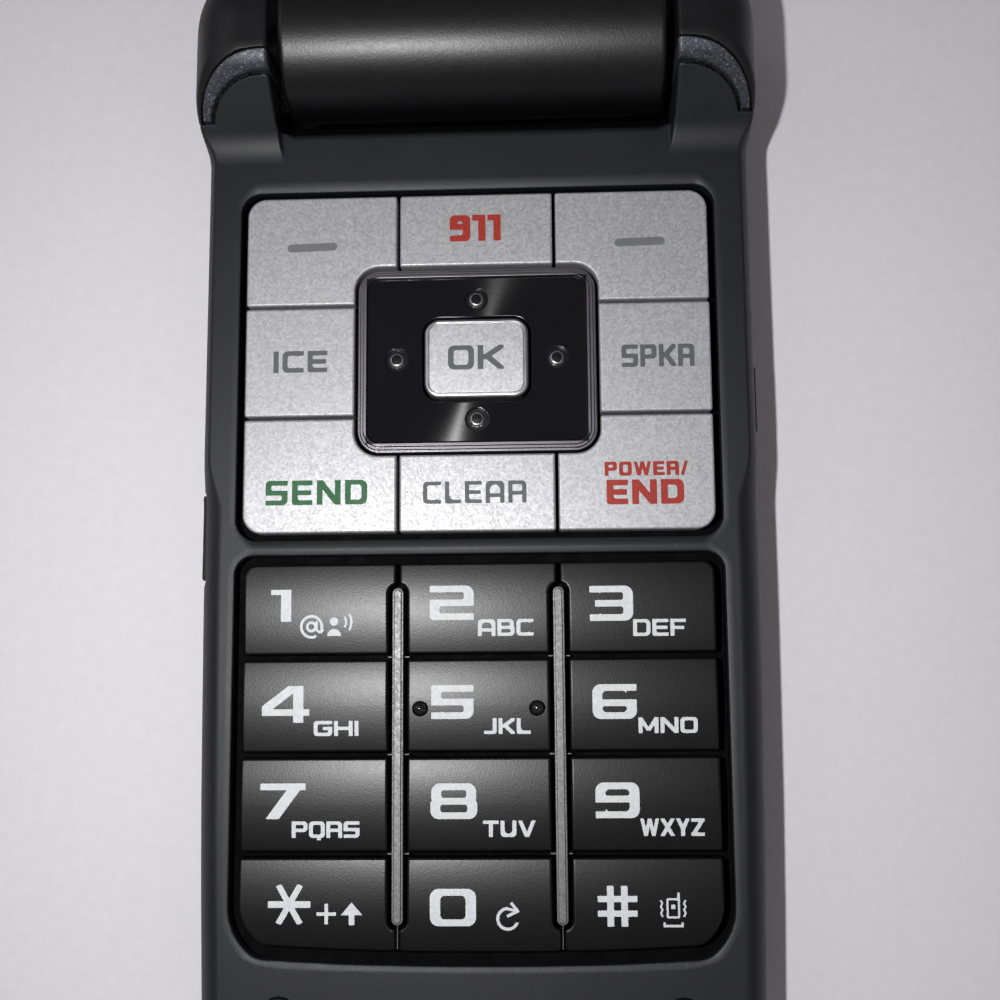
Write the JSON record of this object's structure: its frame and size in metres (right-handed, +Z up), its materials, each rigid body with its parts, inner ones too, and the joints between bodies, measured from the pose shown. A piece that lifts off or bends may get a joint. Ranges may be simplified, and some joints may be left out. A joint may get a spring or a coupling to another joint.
{
  "type": "flip phone",
  "caption": "Open flip phone on its back: keypad base with a navigation pad, silver and black keys, and a hinged lid with inner and outer displays.",
  "frame": {"origin": "centre of the flat back face on which the phone rests", "axes": "+X to the right across the keypad, +Y towards the hinge and the open lid, +Z up out of the keypad"},
  "size_m": [0.0498, 0.1793, 0.0385],
  "materials": {
    "deck_plastic": "soft-touch matte",
    "shell_plastic": "fine spark texture",
    "trim_metallic": "sparkling metallic paint",
    "lid_plastic": "satin",
    "battery_wrap": "printed wrap",
    "contact_gold": "gold plated",
    "circuit_board": "solder mask",
    "tinned_steel": "tinned",
    "silicone": "moulded",
    "silver_key": "silver metallic paint",
    "nav_gloss": "spun gloss black",
    "black_key": "satin black",
    "bar_grey": "translucent grey",
    "side_key_plastic": "satin",
    "speaker_black": "matte",
    "carrier_plastic": "natural",
    "screw_steel": "black zinc",
    "hinge_steel": "bright",
    "lens_black": "clear over black",
    "display_module": "display glass and frame",
    "flex_amber": "polyimide"
  },
  "bodies": {
    "base": {"front_housing": "deck_plastic", "back_housing": "shell_plastic", "hinge_trim_left": "trim_metallic", "hinge_trim_right": "trim_metallic", "battery": "battery_wrap", "battery_contacts": "contact_gold", "main_pcb": "circuit_board", "shield_can": "tinned_steel", "dome_sheet": "tinned_steel", "keypad_web": "silicone", "divider_bars": "bar_grey", "side_switches": "contact_gold", "deck_bumpers": "silicone", "charge_connector": "tinned_steel", "microphone": "tinned_steel", "loudspeaker": "speaker_black", "vibration_motor": "tinned_steel", "antenna_carrier": "carrier_plastic", "housing_screws": "screw_steel", "hinge_shaft": "hinge_steel", "hinge_pin": "hinge_steel"},
    "lid": {"lid_inner_housing": "lid_plastic", "lid_outer_housing": "lid_plastic", "main_lens": "lens_black", "main_display": "display_module", "outer_lens": "lens_black", "outer_display": "display_module", "earpiece": "speaker_black", "lid_pcb": "circuit_board", "camera_module": "lens_black", "lid_magnet": "tinned_steel", "hinge_module": "hinge_steel", "hinge_flex": "flex_amber", "lid_screws": "screw_steel"},
    "battery_cover": {"battery_cover": "shell_plastic"},
    "soft_key_left": {"soft_key_left": "silver_key"},
    "emergency_key": {"emergency_key": "silver_key"},
    "soft_key_right": {"soft_key_right": "silver_key"},
    "contact_key": {"contact_key": "silver_key"},
    "speaker_key": {"speaker_key": "silver_key"},
    "send_key": {"send_key": "silver_key"},
    "clear_key": {"clear_key": "silver_key"},
    "end_key": {"end_key": "silver_key"},
    "ok_key": {"ok_key": "silver_key"},
    "nav_ring": {"nav_ring": "nav_gloss"},
    "nav_collar": {"nav_collar": "silicone"},
    "key_1": {"key_1": "black_key"},
    "key_2": {"key_2": "black_key"},
    "key_3": {"key_3": "black_key"},
    "key_4": {"key_4": "black_key"},
    "key_5": {"key_5": "black_key"},
    "key_6": {"key_6": "black_key"},
    "key_7": {"key_7": "black_key"},
    "key_8": {"key_8": "black_key"},
    "key_9": {"key_9": "black_key"},
    "key_star": {"key_star": "black_key"},
    "key_0": {"key_0": "black_key"},
    "key_hash": {"key_hash": "black_key"},
    "volume_key": {"volume_key": "side_key_plastic"},
    "side_key": {"side_key": "side_key_plastic"}
  },
  "joints": [
    {"name": "lid_hinge", "type": "hinge", "parent": "base", "child": "lid", "pos_m": [0, 0.044, 0.0087], "axis": [1, 0, 0], "range_deg": [0, 160]},
    {"name": "battery_cover_slide", "type": "slide", "parent": "base", "child": "battery_cover", "axis": [0, -1, 0], "range_m": [0, 0.008]},
    {"name": "soft_key_left_press", "type": "slide", "parent": "base", "child": "soft_key_left", "axis": [0, 0, -1], "range_m": [0, 0.00035], "stiffness_N_per_m": 800, "springref_m": -0.0005},
    {"name": "emergency_key_press", "type": "slide", "parent": "base", "child": "emergency_key", "axis": [0, 0, -1], "range_m": [0, 0.00035], "stiffness_N_per_m": 800, "springref_m": -0.0005},
    {"name": "soft_key_right_press", "type": "slide", "parent": "base", "child": "soft_key_right", "axis": [0, 0, -1], "range_m": [0, 0.00035], "stiffness_N_per_m": 800, "springref_m": -0.0005},
    {"name": "contact_key_press", "type": "slide", "parent": "base", "child": "contact_key", "axis": [0, 0, -1], "range_m": [0, 0.00035], "stiffness_N_per_m": 800, "springref_m": -0.0005},
    {"name": "speaker_key_press", "type": "slide", "parent": "base", "child": "speaker_key", "axis": [0, 0, -1], "range_m": [0, 0.00035], "stiffness_N_per_m": 800, "springref_m": -0.0005},
    {"name": "send_key_press", "type": "slide", "parent": "base", "child": "send_key", "axis": [0, 0, -1], "range_m": [0, 0.00035], "stiffness_N_per_m": 800, "springref_m": -0.0005},
    {"name": "clear_key_press", "type": "slide", "parent": "base", "child": "clear_key", "axis": [0, 0, -1], "range_m": [0, 0.00035], "stiffness_N_per_m": 800, "springref_m": -0.0005},
    {"name": "end_key_press", "type": "slide", "parent": "base", "child": "end_key", "axis": [0, 0, -1], "range_m": [0, 0.00035], "stiffness_N_per_m": 800, "springref_m": -0.0005},
    {"name": "ok_key_press", "type": "slide", "parent": "base", "child": "ok_key", "axis": [0, 0, -1], "range_m": [0, 0.00035], "stiffness_N_per_m": 800, "springref_m": -0.0005},
    {"name": "key_1_press", "type": "slide", "parent": "base", "child": "key_1", "axis": [0, 0, -1], "range_m": [0, 0.00035], "stiffness_N_per_m": 800, "springref_m": -0.0005},
    {"name": "key_2_press", "type": "slide", "parent": "base", "child": "key_2", "axis": [0, 0, -1], "range_m": [0, 0.00035], "stiffness_N_per_m": 800, "springref_m": -0.0005},
    {"name": "key_3_press", "type": "slide", "parent": "base", "child": "key_3", "axis": [0, 0, -1], "range_m": [0, 0.00035], "stiffness_N_per_m": 800, "springref_m": -0.0005},
    {"name": "key_4_press", "type": "slide", "parent": "base", "child": "key_4", "axis": [0, 0, -1], "range_m": [0, 0.00035], "stiffness_N_per_m": 800, "springref_m": -0.0005},
    {"name": "key_5_press", "type": "slide", "parent": "base", "child": "key_5", "axis": [0, 0, -1], "range_m": [0, 0.00035], "stiffness_N_per_m": 800, "springref_m": -0.0005},
    {"name": "key_6_press", "type": "slide", "parent": "base", "child": "key_6", "axis": [0, 0, -1], "range_m": [0, 0.00035], "stiffness_N_per_m": 800, "springref_m": -0.0005},
    {"name": "key_7_press", "type": "slide", "parent": "base", "child": "key_7", "axis": [0, 0, -1], "range_m": [0, 0.00035], "stiffness_N_per_m": 800, "springref_m": -0.0005},
    {"name": "key_8_press", "type": "slide", "parent": "base", "child": "key_8", "axis": [0, 0, -1], "range_m": [0, 0.00035], "stiffness_N_per_m": 800, "springref_m": -0.0005},
    {"name": "key_9_press", "type": "slide", "parent": "base", "child": "key_9", "axis": [0, 0, -1], "range_m": [0, 0.00035], "stiffness_N_per_m": 800, "springref_m": -0.0005},
    {"name": "key_star_press", "type": "slide", "parent": "base", "child": "key_star", "axis": [0, 0, -1], "range_m": [0, 0.00035], "stiffness_N_per_m": 800, "springref_m": -0.0005},
    {"name": "key_0_press", "type": "slide", "parent": "base", "child": "key_0", "axis": [0, 0, -1], "range_m": [0, 0.00035], "stiffness_N_per_m": 800, "springref_m": -0.0005},
    {"name": "key_hash_press", "type": "slide", "parent": "base", "child": "key_hash", "axis": [0, 0, -1], "range_m": [0, 0.00035], "stiffness_N_per_m": 800, "springref_m": -0.0005},
    {"name": "volume_key_press", "type": "slide", "parent": "base", "child": "volume_key", "axis": [1, 0, 0], "range_m": [0, 0.00035], "stiffness_N_per_m": 800, "springref_m": -0.0005},
    {"name": "side_key_press", "type": "slide", "parent": "base", "child": "side_key", "axis": [-1, 0, 0], "range_m": [0, 0.00035], "stiffness_N_per_m": 800, "springref_m": -0.0005},
    {"name": "nav_rock_up_down", "type": "hinge", "parent": "base", "child": "nav_collar", "pos_m": [0, 0.0142, 0.00737], "axis": [1, 0, 0], "range_deg": [-1.5, 1.5], "stiffness_Nm_per_rad": 0.05},
    {"name": "nav_rock_left_right", "type": "hinge", "parent": "nav_collar", "child": "nav_ring", "pos_m": [0, 0.0142, 0.0082], "axis": [0, 1, 0], "range_deg": [-1.2, 1.2], "stiffness_Nm_per_rad": 0.05}
  ]
}
